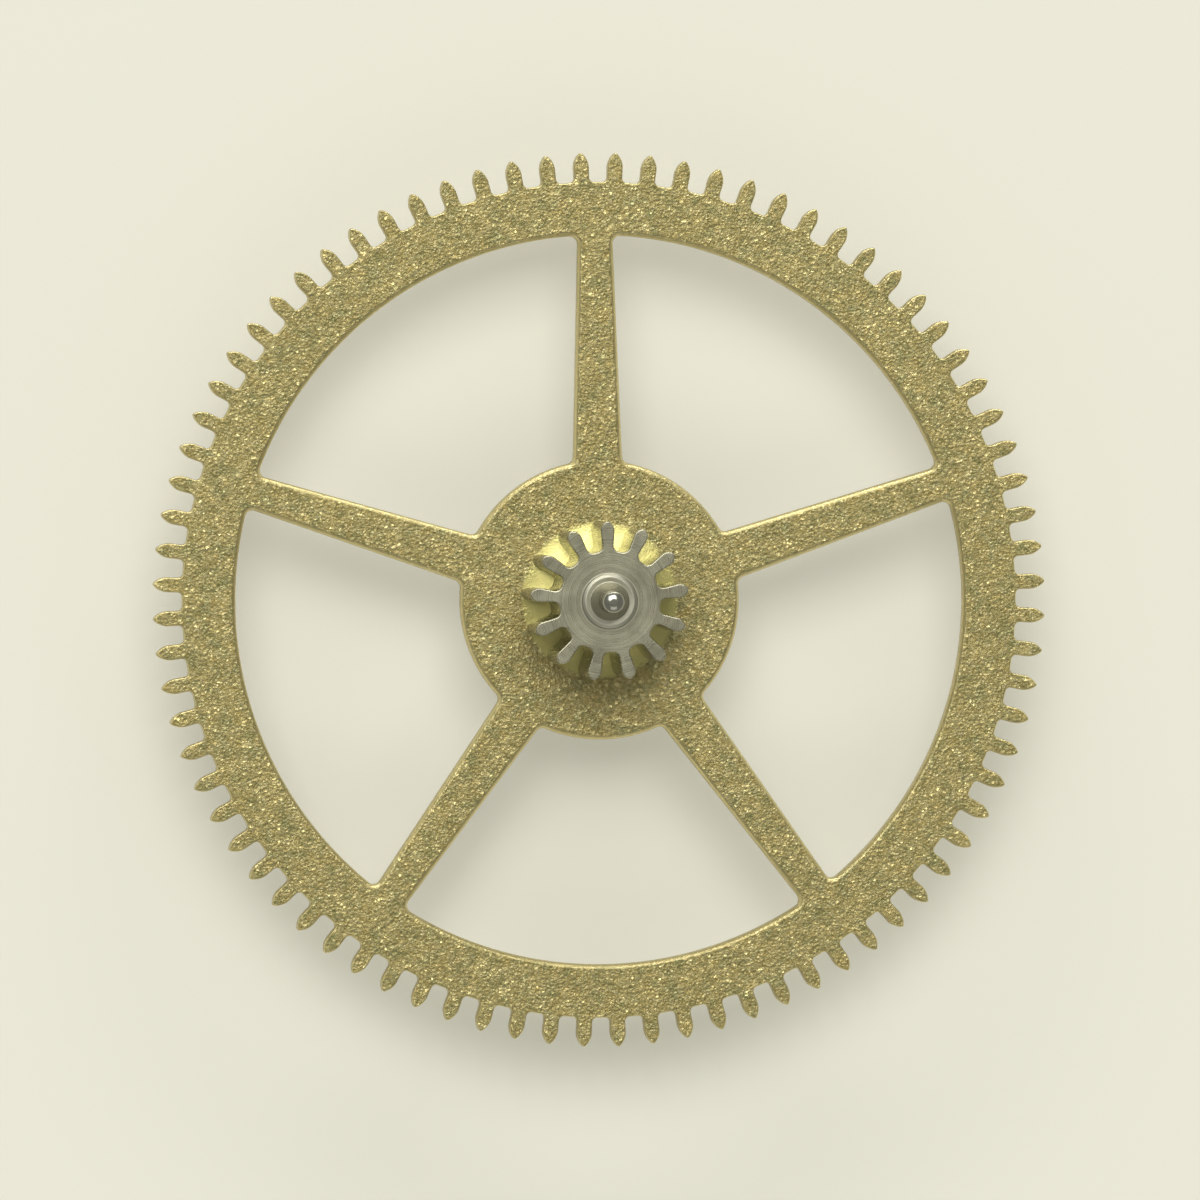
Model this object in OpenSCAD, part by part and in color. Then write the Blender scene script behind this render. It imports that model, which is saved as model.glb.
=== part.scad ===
// Third wheel of a mechanical watch: a toothed brass wheel riveted onto a one-piece steel pinion.
// Millimetres. The arbor runs along Z with the pinion's leaves above the wheel, and the end of
// the lower pivot is at the origin. One spoke points along +Y.

/* [Wheel] */
// Diameter of the wheel over the tips of its teeth
wheel_d = 8.10; // [7.2:0.01:9.0]
// Number of wheel teeth
wheel_teeth = 80; // [66:1:90]
// Thickness of the wheel
wheel_t = 0.20; // [0.14:0.01:0.3]
// Height of a wheel tooth above the pitch circle
tooth_addendum = 0.130; // [0.09:0.005:0.16]
// Depth of a wheel tooth space below the pitch circle
tooth_dedendum = 0.135; // [0.1:0.001:0.2]
// Thickness of a wheel tooth at the pitch circle
tooth_t = 0.135; // [0.11:0.001:0.155]
// Radius that rounds the end of a wheel tooth
tooth_tip_r = 0.020; // [0.01:0.002:0.03]
// Radius in the corners of a wheel tooth space
tooth_root_r = 0.045; // [0.02:0.001:0.06]
// Turn of the wheel teeth against the spokes, in degrees
tooth_turn = 1.75; // [0:0.05:4.5]

/* [Rim, spokes and hub] */
// Radial width of the rim below the tooth spaces
rim_w = 0.48; // [0.3:0.01:0.6]
// Number of spokes
spoke_count = 5; // [3:1:6]
// Width of a spoke where it meets the rim
spoke_rim_w = 0.31; // [0.2:0.01:0.42]
// Width of a spoke where it meets the hub
spoke_hub_w = 0.44; // [0.34:0.01:0.6]
// Radius in the corners of the windows between the spokes
window_corner_r = 0.070; // [0.03:0.005:0.15]
// Diameter of the hub
hub_d = 2.53; // [2.1:0.01:3.0]

/* [Seat and rivet] */
// Diameter of the pinion's seat in the wheel's bore
seat_d = 0.98; // [0.94:0.01:1.1]
// Diameter of the riveted lip under the wheel
rivet_d = 1.20; // [1.12:0.01:1.4]
// Height that the riveted lip stands proud of the wheel's underside
rivet_t = 0.03; // [0.02:0.005:0.06]
// Depth of the countersink that the rivet fills in the wheel's underside
countersink_depth = 0.06; // [0.03:0.005:0.08]
// Depth of the ring that the riveting punch leaves in the lip
punch_depth = 0.035; // [0.02:0.005:0.05]
// Width of the ring that the riveting punch leaves in the lip
punch_w = 0.16; // [0.1:0.01:0.2]

/* [Pinion leaves] */
// Diameter of the pinion over the tips of its leaves
pinion_d = 1.44; // [1.36:0.01:1.7]
// Number of pinion leaves
leaf_count = 13; // [10:1:14]
// Length of the leaves along the arbor
leaf_length = 1.15; // [0.6:0.05:1.6]
// Height of a leaf above the pitch circle
leaf_addendum = 0.080; // [0.06:0.001:0.1]
// Depth of a leaf space below the pitch circle
leaf_dedendum = 0.185; // [0.14:0.001:0.2]
// Thickness of a leaf at the pitch circle
leaf_t = 0.125; // [0.1:0.001:0.13]
// Radius that rounds the end of a leaf
leaf_tip_r = 0.040; // [0.02:0.002:0.044]
// Radius in the corners of a leaf space
leaf_root_r = 0.060; // [0.03:0.002:0.07]
// Turn of the leaves against the spokes, in degrees
leaf_turn = 1.0; // [0:0.5:13.5]

/* [Arbor and pivots] */
// Diameter of both pivots
pivot_d = 0.20; // [0.14:0.01:0.26]
// Length of the lower pivot
lower_pivot_length = 0.32; // [0.22:0.01:0.5]
// Length of the upper pivot
upper_pivot_length = 0.32; // [0.22:0.01:0.5]
// Radius that rounds the edge of a pivot's end
pivot_end_r = 0.060; // [0.02:0.005:0.065]
// Diameter of the arbor between the wheel and the lower pivot
lower_arbor_d = 0.60; // [0.52:0.01:0.7]
// Length of the arbor from the wheel's underside to the lower pivot
lower_arbor_length = 0.48; // [0.3:0.01:0.8]
// Diameter of the tapered boss above the leaves, at its foot
boss_foot_d = 0.50; // [0.42:0.01:0.6]
// Diameter of the tapered boss at its upper edge
boss_top_d = 0.38; // [0.32:0.01:0.46]
// Length of the boss above the leaves
upper_boss_length = 0.09; // [0.05:0.01:0.3]
// Length of the cone that leads from the boss to the upper pivot
upper_cone_length = 0.08; // [0.04:0.01:0.15]
// Width and height of the bevel at the arbor's lower shoulder
shoulder_bevel = 0.025; // [0.01:0.005:0.04]

/* [Hidden] */
$fn = 64;

// Straight steps that stand in for the rounded corner, the leaning arc and the tip of half a tooth
tooth_steps = [2, 3, 1];
leaf_steps = [4, 4, 3];
// Straight steps in the arcs of a window and in a pivot's rounded end
corner_steps = 3;
rim_arc_steps = 18;
hub_arc_steps = 8;
pivot_end_steps = 5;

// Height of each shoulder, from the lower pivot's end upwards
lower_shoulder_z = lower_pivot_length;
wheel_z = lower_shoulder_z + lower_arbor_length;
leaf_z = wheel_z + wheel_t;
boss_z = leaf_z + leaf_length;
cone_z = boss_z + upper_boss_length;
upper_shoulder_z = cone_z + upper_cone_length;
top_z = upper_shoulder_z + upper_pivot_length;

// Radii worked out from the driving sizes
wheel_pitch_r = wheel_d / 2 - tooth_addendum;
wheel_root_r = wheel_pitch_r - tooth_dedendum;
rim_inner_r = wheel_root_r - rim_w;
hub_r = hub_d / 2;
leaf_pitch_r = pinion_d / 2 - leaf_addendum;
seat_r = seat_d / 2;
rivet_r = rivet_d / 2;
pivot_r = pivot_d / 2;
lower_arbor_r = lower_arbor_d / 2;
boss_foot_r = boss_foot_d / 2;
boss_top_r = boss_top_d / 2;
punch_inner_r = lower_arbor_r + (rivet_r - lower_arbor_r - punch_w) / 2;
punch_side_w = punch_w / 4;
// How far the bore's cut runs past each face of the wheel
bore_run_out = 0.05;
// Largest share of a tooth space's half width that its rounded corners take up
fillet_share = 0.95;

function polar(r, a) = [r * cos(a), r * sin(a)];
function turned(p, a) = [p[0] * cos(a) - p[1] * sin(a), p[0] * sin(a) + p[1] * cos(a)];
function mirrored(list) = [for (i = [len(list) - 1 : -1 : 0]) [-list[i][0], list[i][1]]];

// Right half of one tooth, drawn with the tooth's middle along +Y: the rounded corner of the space,
// a radial flank up to the pitch circle, a circular arc that leans in, and a rounded tip.
function half_tooth(count, pitch_r, addendum, dedendum, t, tip_r, root_r, steps) =
    let (
        half_t = t / 2,
        flank_a = asin(half_t / pitch_r),
        bottom_r = pitch_r - dedendum,
        space_a = 180 / count - flank_a,
        widest_fillet = bottom_r * sin(space_a) / (1 - sin(space_a)),
        fillet = min(root_r, fillet_share * widest_fillet),
        fillet_a = asin(fillet / (bottom_r + fillet)),
        fillet_centre = polar(bottom_r + fillet, 90 - flank_a - fillet_a),
        pitch_y = pitch_r * cos(flank_a),
        tip_centre_y = pitch_r + addendum - tip_r,
        rise = tip_centre_y - pitch_y,
        arc_r = (half_t ^ 2 + rise ^ 2 - tip_r ^ 2) / (2 * (half_t - tip_r)),
        arc_end_a = atan2(rise, arc_r - half_t)
    )
    concat(
        [for (i = [0 : steps[0]])
            fillet_centre + polar(fillet, 270 - flank_a - fillet_a - (90 - fillet_a) * i / steps[0])],
        [for (i = [0 : steps[1]])
            [half_t - arc_r, pitch_y] + polar(arc_r, arc_end_a * i / steps[1])],
        [for (i = [1 : steps[2]])
            [0, tip_centre_y] + polar(tip_r, arc_end_a + (90 - arc_end_a) * i / steps[2])]
    );

// Closed outline of a toothed disc with one tooth's middle at the angle given by turn, from +Y
function toothed_outline(count, pitch_r, addendum, dedendum, t, tip_r, root_r, turn, steps) =
    let (
        half = half_tooth(count, pitch_r, addendum, dedendum, t, tip_r, root_r, steps),
        left = mirrored([for (i = [0 : len(half) - 2]) half[i]]),
        tooth = concat(half, left)
    )
    [for (k = [0 : count - 1]) for (p = tooth) turned(p, turn + k * 360 / count)];

// Points of a rounded corner, from the angle a to the angle b about its centre
function corner(centre, r, a, b) =
    [for (i = [0 : corner_steps]) centre + polar(r, a + (b - a) * i / corner_steps)];

// Outline of the window between two spokes, drawn with its middle along +Y. Each straight side is
// the edge of a tapered spoke, and each corner is an arc that touches that edge and the rim or hub.
function window_outline() =
    let (
        half_a = 180 / spoke_count,
        hub_point = [spoke_hub_w / 2, sqrt(hub_r ^ 2 - (spoke_hub_w / 2) ^ 2)],
        rim_point = [spoke_rim_w / 2, sqrt(rim_inner_r ^ 2 - (spoke_rim_w / 2) ^ 2)],
        lean = atan2(hub_point[0] - rim_point[0], rim_point[1] - hub_point[1]),
        normal = polar(1, lean),
        along = polar(1, lean + 90),
        offset_d = hub_point * normal + window_corner_r,
        rim_corner_d = rim_inner_r - window_corner_r,
        hub_corner_d = hub_r + window_corner_r,
        rim_corner = normal * offset_d + along * sqrt(rim_corner_d ^ 2 - offset_d ^ 2),
        hub_corner = normal * offset_d + along * sqrt(hub_corner_d ^ 2 - offset_d ^ 2),
        rim_corner_a = atan2(rim_corner[1], rim_corner[0]),
        hub_corner_a = atan2(hub_corner[1], hub_corner[0]),
        left_side = [for (p = concat(
            corner(hub_corner, window_corner_r, hub_corner_a + 180, lean + 180),
            corner(rim_corner, window_corner_r, lean + 180, rim_corner_a))) turned(p, half_a)],
        rim_left_a = rim_corner_a + half_a,
        hub_left_a = hub_corner_a + half_a
    )
    concat(
        left_side,
        [for (i = [1 : rim_arc_steps - 1])
            polar(rim_inner_r, rim_left_a + (180 - 2 * rim_left_a) * i / rim_arc_steps)],
        mirrored(left_side),
        [for (i = [1 : hub_arc_steps - 1])
            polar(hub_r, 180 - hub_left_a + (2 * hub_left_a - 180) * i / hub_arc_steps)]
    );

// Outline of the wheel as one polygon: the teeth are its first path and each window is a hole
module wheel_outline() {
    teeth = toothed_outline(wheel_teeth, wheel_pitch_r, tooth_addendum, tooth_dedendum,
        tooth_t, tooth_tip_r, tooth_root_r, tooth_turn, tooth_steps);
    window = window_outline();
    windows = [for (k = [0 : spoke_count - 1]) for (p = window) turned(p, (k + 0.5) * 360 / spoke_count)];
    polygon(
        points = concat(teeth, windows),
        paths = concat(
            [[for (i = [0 : len(teeth) - 1]) i]],
            [for (k = [0 : spoke_count - 1])
                [for (i = [0 : len(window) - 1]) len(teeth) + k * len(window) + i]]));
}

// Flat brass wheel with its teeth, windows, bore and the countersink for the rivet
module wheel() {
    color([0.64, 0.56, 0.33])
    translate([0, 0, wheel_z])
        difference() {
            linear_extrude(wheel_t) wheel_outline();
            translate([0, 0, -bore_run_out]) cylinder(r = seat_r, h = wheel_t + 2 * bore_run_out);
            cylinder(r1 = rivet_r, r2 = seat_r, h = countersink_depth);
        }
}

// Profile of a pivot's rounded end, from the axis outwards, at the height z in the direction dir
function pivot_end(z, dir) =
    [for (i = [0 : pivot_end_steps])
        let (a = 90 * i / pivot_end_steps)
        [pivot_r - pivot_end_r + pivot_end_r * sin(a), z - dir * pivot_end_r * (1 - cos(a))]];

// Turned core of the pinion: lower pivot and arbor, punched rivet, seat, the core that runs up
// through the leaves, the tapered boss, the cone and the upper pivot
module arbor() {
    upper_end = pivot_end(top_z, 1);
    rotate_extrude()
        polygon(concat(
            [[0, 0]],
            pivot_end(0, -1),
            [
                [pivot_r, lower_shoulder_z],
                [lower_arbor_r - shoulder_bevel, lower_shoulder_z],
                [lower_arbor_r, lower_shoulder_z + shoulder_bevel],
                [lower_arbor_r, wheel_z - rivet_t],
                [punch_inner_r, wheel_z - rivet_t],
                [punch_inner_r + punch_side_w, wheel_z - rivet_t + punch_depth],
                [punch_inner_r + punch_w - punch_side_w, wheel_z - rivet_t + punch_depth],
                [punch_inner_r + punch_w, wheel_z - rivet_t],
                [rivet_r, wheel_z - rivet_t],
                [rivet_r, wheel_z],
                [seat_r, wheel_z + countersink_depth],
                [seat_r, leaf_z],
                [boss_foot_r, leaf_z],
                [boss_foot_r, boss_z],
                [boss_top_r, cone_z],
                [pivot_r, upper_shoulder_z]
            ],
            [for (i = [pivot_end_steps : -1 : 0]) upper_end[i]],
            [[0, top_z]]));
}

// Steel pinion: leaves, arbor, rivet and both pivots in one piece
module pinion() {
    color([0.42, 0.44, 0.46])
    union() {
        arbor();
        translate([0, 0, leaf_z])
            linear_extrude(leaf_length)
                polygon(toothed_outline(leaf_count, leaf_pitch_r, leaf_addendum, leaf_dedendum,
                    leaf_t, leaf_tip_r, leaf_root_r, leaf_turn, leaf_steps));
    }
}

wheel();
pinion();
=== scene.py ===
# %% [markdown]
# A third wheel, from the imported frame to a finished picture
#
# The object is one wheel of a watch's going train: a flat gilt brass wheel with 80 slim teeth, riveted
# onto a hardened steel pinion with 13 leaves. It is 8.1 mm across, so its shapes are worked out in
# millimetres, and one factor turns them to Blender's metres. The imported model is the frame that
# everything is fitted to. It could be shaded as it is, but its teeth and arcs are short straight
# steps with sharp edges, and sharp edges never catch the light. So both pieces are worked out again
# here as smooth surfaces with numpy, with the small round edges that stamping and polishing leave.

import bpy
import numpy as np
from mathutils import Matrix, Vector


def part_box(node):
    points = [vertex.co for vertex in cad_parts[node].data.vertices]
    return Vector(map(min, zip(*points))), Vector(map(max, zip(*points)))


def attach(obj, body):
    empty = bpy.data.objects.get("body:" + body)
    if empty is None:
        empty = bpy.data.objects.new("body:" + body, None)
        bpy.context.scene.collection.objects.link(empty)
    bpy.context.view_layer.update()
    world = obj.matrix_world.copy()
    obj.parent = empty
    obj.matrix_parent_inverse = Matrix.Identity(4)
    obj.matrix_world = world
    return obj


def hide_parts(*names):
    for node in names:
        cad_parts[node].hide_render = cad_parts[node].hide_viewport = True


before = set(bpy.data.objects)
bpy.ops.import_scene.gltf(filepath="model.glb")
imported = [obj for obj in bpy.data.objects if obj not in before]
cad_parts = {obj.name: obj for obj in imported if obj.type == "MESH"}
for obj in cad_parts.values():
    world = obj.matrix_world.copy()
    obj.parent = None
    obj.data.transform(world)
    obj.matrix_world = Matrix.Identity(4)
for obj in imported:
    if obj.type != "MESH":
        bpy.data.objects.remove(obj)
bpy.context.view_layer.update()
wheel_low, wheel_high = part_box("wheel")
pinion_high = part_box("pinion")[1]

# %% [markdown]
# Sizes. The heights of the wheel and of the whole arbor are read from the frame, so that the pieces
# can't drift from the solids. The rest are the sizes that the watchmaker's drawing gives for such a
# wheel: how many teeth, how wide the rim is, how thick a pivot is. Angles are in degrees here and are
# turned to radians where they are used.

# %% Sizes of the wheel and the pinion, in millimetres
MM = 0.001
wheel_bottom, wheel_top = wheel_low[2] / MM, wheel_high[2] / MM
pinion_top = pinion_high[2] / MM

tooth = dict(count=80, pitch_r=3.92, addendum=0.130, dedendum=0.135, thick=0.135,
             tip_r=0.020, root_r=0.045, turn=1.75)
leaf = dict(count=13, pitch_r=0.64, addendum=0.080, dedendum=0.185, thick=0.125,
            tip_r=0.040, root_r=0.060, turn=1.0)

spokes = 5
spoke_rim_w, spoke_hub_w = 0.31, 0.44
rim_inner_r, hub_r, window_corner_r = 3.305, 1.265, 0.070
seat_r, rivet_r, rivet_t, countersink = 0.49, 0.60, 0.03, 0.06
punch_depth, punch_w = 0.035, 0.16
leaf_top = wheel_top + 1.15
boss_foot_r, cone_rise = 0.25, 0.17
pivot_r, pivot_length, dome_r, dome_h = 0.10, 0.32, 0.055, 0.030
arbor_r, arbor_bevel = 0.30, 0.025

print("wheel from", round(wheel_bottom, 3), "to", round(wheel_top, 3), "mm, leaves up to",
      round(leaf_top, 3), "mm, arbor up to", round(pinion_top, 3), "mm")

# %% [markdown]
# Patches. A wheel like this could be extruded from a curve and given a Bevel modifier, but a bevel
# breaks down in tooth spaces that are hardly wider than its own radius. So each surface is a grid
# instead: rows in one direction, stations in the other, and a place and a normal at every crossing. A
# round part, a toothed edge and a flat face are all the same thing to Blender once they are grids. The
# normals come from the formulas and not from the faces, which keeps the flat faces flat and the round
# edges round with very few rows.

# %% Helpers: points on circles
TAU = 2 * np.pi


def on_circle(r, a):
    """Points at the radius r and the angles a: r times cosine and sine of the angle."""
    return np.stack([r * np.cos(a), r * np.sin(a)], axis=-1)


def turned(p, a):
    """Points turned about the arbor by the angle a, in radians."""
    c, s = np.cos(a), np.sin(a)
    return np.stack([p[..., 0] * c - p[..., 1] * s, p[..., 0] * s + p[..., 1] * c], axis=-1)


def mirrored(p):
    """The same points in reverse order, reflected in the Y axis, for the other half of a shape."""
    return p[::-1] * np.array([-1.0, 1.0])


def lifted(p, z):
    """Flat points with a height added as their third coordinate."""
    return np.concatenate([p, np.broadcast_to(np.asarray(z, float), p.shape[:-1])[..., None]], axis=-1)


print("3 o'clock turned by a quarter:", turned(on_circle(1.0, 0.0), TAU / 4).round(3))

# %% [markdown]
# A grid becomes faces by counting. Each crossing makes one four-sided face with the next station and
# the next row. Every shape here goes all the way round, so its last station joins the first.

# %% Helper: one grid as a patch of faces
def patch(points, normals, marks=0.0):
    """One closed grid of rows by stations.

    Its faces run (row, station), (row, station + 1), (row + 1, station + 1), (row + 1, station).
    """
    rows, count = points.shape[:2]
    a, b = np.meshgrid(np.arange(rows - 1), np.arange(count), indexing="ij")
    nxt = (b + 1) % count
    faces = np.stack([a * count + b, a * count + nxt, (a + 1) * count + nxt, (a + 1) * count + b], -1)
    return dict(points=points.reshape(-1, 3),
                normals=np.broadcast_to(normals, points.shape).reshape(-1, 3),
                marks=np.broadcast_to(np.asarray(marks, float), points.shape[:2]).reshape(-1),
                faces=faces.reshape(-1, 4))


print("2 rows of 8 stations make", len(patch(np.zeros((2, 8, 3)), 0.0)["faces"]), "faces")

# %% [markdown]
# Sewing. Patches meet edge to edge, and their crossings there lie in the same place. Blender's Merge by
# Distance could join them, but it would forget the exact normals, so the merging is done on the arrays.
# At the ends of the arbor a whole row shrinks to one point, and there the faces lose a corner. A closed
# mesh uses each of its edges exactly twice, which is counted as a check.

# %% Helper: patches sewn into one mesh
merges_per_mm = 1e4


def sewn(name, patches, mark_name):
    """One closed mesh from many patches.

    Places that agree to a tenth of a micrometre become one vertex. Faces lose a corner that is
    doubled, and each corner of a face keeps its own patch's normal.
    """
    starts = np.cumsum([0] + [len(p["points"]) for p in patches[:-1]])
    points, normals, marks = (np.concatenate([p[key] for p in patches])
                              for key in ("points", "normals", "marks"))
    faces = np.concatenate([p["faces"] + s for p, s in zip(patches, starts)])
    _, first, same = np.unique(np.round(points * merges_per_mm).astype(np.int64), axis=0,
                               return_index=True, return_inverse=True)
    welded = same.reshape(-1)[faces]
    keep = welded != np.roll(welded, -1, axis=1)
    whole = keep.sum(axis=1) >= 3
    keep, welded, faces = keep[whole], welded[whole], faces[whole]
    sizes = keep.sum(axis=1)
    corners = welded[keep]
    corner_normals = normals[faces[keep]]
    corner_normals /= np.linalg.norm(corner_normals, axis=1)[:, None]

    mesh = bpy.data.meshes.new(name)
    mesh.vertices.add(len(first))
    mesh.vertices.foreach_set("co", (points[first] * MM).ravel())
    mesh.loops.add(len(corners))
    mesh.loops.foreach_set("vertex_index", corners.astype(np.int32))
    mesh.polygons.add(len(sizes))
    starts_at = np.cumsum(sizes) - sizes
    mesh.polygons.foreach_set("loop_start", starts_at.astype(np.int32))
    mesh.update(calc_edges=True)
    mesh.validate()
    mesh.polygons.foreach_set("use_smooth", np.ones(len(sizes), bool))
    mesh.attributes.new(mark_name, "FLOAT", "POINT").data.foreach_set("value", marks[first])
    mesh.normals_split_custom_set(corner_normals)
    piece = bpy.data.objects.new(name, mesh)
    bpy.context.collection.objects.link(piece)

    following = np.arange(1, len(corners) + 1)
    following[starts_at + sizes - 1] = starts_at
    sides = np.sort(np.stack([corners, corners[following]], axis=-1), axis=1)
    _, uses = np.unique(sides, axis=0, return_counts=True)
    print(name, len(first), "vertices,", int((sizes - 2).sum()), "triangles,",
          int((uses != 2).sum()), "open or doubled edges")
    return piece


print("places within", 1000 / merges_per_mm, "micrometres become one")

# %% [markdown]
# The outline of the teeth. A wheel tooth of a watch is slim: a space with rounded corners, a straight
# flank that points at the centre, an arc that leans in above the pitch circle and a narrow round tip,
# like a candle flame. The pinion's leaves are drawn the same way with other sizes. One tooth could be
# traced by hand and repeated with an Array modifier, but then its length and width couldn't be
# changed later. Here half a tooth is worked out as four arcs and a line. Each point also gets a partner
# angle on a ring below the teeth, so that the flat face can be filled by straight strips that never
# cross a tooth space.

# %% Helper: half a tooth
def half_tooth(t, bottom_stops, steps):
    """Right half of a tooth whose middle points along +Y, from the middle of the space to the tip.

    bottom_stops are degrees from the tooth's middle, and steps is for its three arcs above the bottom.
    The corner of the space is an arc that touches the bottom circle and the straight flank. Above the
    pitch circle comes an arc whose radius makes it start straight up and end tangent to the tip's arc:
    (half thickness squared + rise squared - tip radius squared) / (2 (half thickness - tip radius)).
    Returns the points, the normals that point out of the metal, and the partner angles.
    """
    half_t, bottom_r = t["thick"] / 2, t["pitch_r"] - t["dedendum"]
    flank_a = np.arcsin(half_t / t["pitch_r"])
    corner_a = np.arcsin(t["root_r"] / (bottom_r + t["root_r"]))
    corner_centre = on_circle(bottom_r + t["root_r"], TAU / 4 - flank_a - corner_a)
    pitch_y = t["pitch_r"] * np.cos(flank_a)
    tip_y = t["pitch_r"] + t["addendum"] - t["tip_r"]
    rise = tip_y - pitch_y
    lean_r = (half_t ** 2 + rise ** 2 - t["tip_r"] ** 2) / (2 * (half_t - t["tip_r"]))
    lean_end = np.arctan2(rise, lean_r - half_t)

    bottom_a = TAU / 4 - np.radians(bottom_stops)
    out = on_circle(1.0, bottom_a)
    points, normals = [on_circle(bottom_r, bottom_a)], [out]
    sweep = on_circle(1.0, np.linspace(3 * TAU / 4 - flank_a - corner_a, TAU / 2 - flank_a,
                                       steps[0] + 1))
    points.append(corner_centre + t["root_r"] * sweep)
    normals.append(-sweep)
    sweep = on_circle(1.0, np.linspace(0, lean_end, steps[1] + 1))
    points.append(np.array([half_t - lean_r, pitch_y]) + lean_r * sweep)
    normals.append(sweep)
    sweep = on_circle(1.0, np.linspace(lean_end, TAU / 4, steps[2] + 1)[1:])
    points.append(np.array([0, tip_y]) + t["tip_r"] * sweep)
    normals.append(sweep)
    points, normals = np.concatenate(points), np.concatenate(normals)

    own_a = np.arctan2(points[:, 1], points[:, 0])
    base = len(bottom_a) + steps[0]
    run = np.concatenate([[0], np.cumsum(np.linalg.norm(np.diff(points[base:], axis=0), axis=1))])
    partner = np.concatenate([own_a[:base], own_a[base] + (TAU / 4 - own_a[base]) * run / run[-1]])
    return points, normals, partner


# the stops at the bottom: the space's middle, one between, and one on the spoke's own line
wheel_stops, tooth_steps = [180 / tooth["count"], 2.0, tooth["turn"]], (5, 6, 4)
print("half a tooth:", len(half_tooth(tooth, wheel_stops, tooth_steps)[0]), "stations")

# %% [markdown]
# The whole outline. The half is mirrored for the other half, and the tooth is then turned round the
# centre for all the teeth at once. The outline begins on the line of the upward spoke, and a fifth of
# its stations lies between two spokes, so that the teeth and the windows share their stations.

# %% Teeth and leaves as closed outlines
def toothed(t, bottom_stops, steps, start):
    """Whole outline, anticlockwise, that begins at the station nearest to the angle start."""
    points, normals, partner = half_tooth(t, bottom_stops, steps)
    turns = np.radians(t["turn"]) + TAU * np.arange(t["count"]) / t["count"]
    points, normals = (
        turned(np.concatenate([v, mirrored(v[:-1])[:-1]])[None], turns[:, None]).reshape(-1, 2)
        for v in (points, normals))
    partner = np.concatenate([partner, (TAU / 2 - partner[:-1][::-1])[:-1]])
    partner = (partner[None] + turns[:, None]).reshape(-1)
    first = int(np.argmin(np.abs((partner - start + TAU / 2) % TAU - TAU / 2)))
    points, normals, partner = (np.roll(v, -first, axis=0) for v in (points, normals, partner))
    partner = start + np.unwrap(partner - start)
    return points, normals, partner - TAU * np.round((partner[0] - start) / TAU)


edge, edge_n, edge_a = toothed(tooth, wheel_stops, tooth_steps, TAU / 4)
tip_r = float(np.linalg.norm(edge, axis=1).max())
print("wheel outline:", len(edge), "stations, tip radius", round(tip_r, 4), "mm, first station at",
      round(float(np.degrees(edge_a[0])), 4), "degrees")

# %% [markdown]
# The windows between the spokes. They are punched out of the sheet, so their corners have the radius
# of the punch. A Boolean modifier could cut them, but it leaves long thin faces that shade badly, so
# the metal is built round the window. First come the centres of the punch's corners: each lies a
# corner's radius away from the spoke's side and from the circle of the rim or the hub.

# %% Where the corners of a window lie
sector = TAU / spokes
ring_r, hub_ring_r = 3.70, 0.95
ring_a = edge_a[:len(edge) // spokes + 1]

spoke_hub = np.array([spoke_hub_w / 2, np.sqrt(hub_r ** 2 - (spoke_hub_w / 2) ** 2)])
spoke_rim = np.array([spoke_rim_w / 2, np.sqrt(rim_inner_r ** 2 - (spoke_rim_w / 2) ** 2)])
lean = np.arctan2(spoke_hub[0] - spoke_rim[0], spoke_rim[1] - spoke_hub[1])
flat_a = lean + TAU / 2
side_n, side_up = on_circle(1.0, lean), on_circle(1.0, lean + TAU / 4)
corner_x = spoke_hub @ side_n + window_corner_r
rim_corner = side_n * corner_x + side_up * np.sqrt((rim_inner_r - window_corner_r) ** 2 - corner_x ** 2)
hub_corner = side_n * corner_x + side_up * np.sqrt((hub_r + window_corner_r) ** 2 - corner_x ** 2)
rim_corner_a = np.arctan2(rim_corner[1], rim_corner[0])
hub_corner_a = np.arctan2(hub_corner[1], hub_corner[0]) + TAU / 2
rim_half_a, hub_half_a = (rim_corner_a + flat_a) / 2, (flat_a + hub_corner_a) / 2
print("each side of a spoke leans by", round(float(np.degrees(lean)), 3), "degrees")

# %% [markdown]
# The edge of a window is made of two sides and two arcs. They part in the middle of the corners, so
# that each corner is shared by the side and the arc that it joins.

# %% Helpers: the sides and arcs of a window
def window_side(steps):
    """Window edge to the right of a spoke that points along +Y: an arc, a straight line and an arc.

    It runs from the middle of the corner at the rim to the middle of the corner at the hub.
    """
    upper = np.linspace(rim_half_a, flat_a, steps[0] + 1)
    lower = np.linspace(flat_a, hub_half_a, steps[2] + 1)
    top = rim_corner + on_circle(window_corner_r, flat_a)
    foot = hub_corner + on_circle(window_corner_r, flat_a)
    share = np.linspace(0, 1, steps[1] + 1)[1:-1, None]
    points = np.concatenate([rim_corner + on_circle(window_corner_r, upper),
                             top + (foot - top) * share,
                             hub_corner + on_circle(window_corner_r, lower)])
    normals = np.concatenate([-on_circle(1.0, upper), np.broadcast_to(side_n, (steps[1] - 1, 2)),
                              -on_circle(1.0, lower)])
    return points, normals


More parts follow.
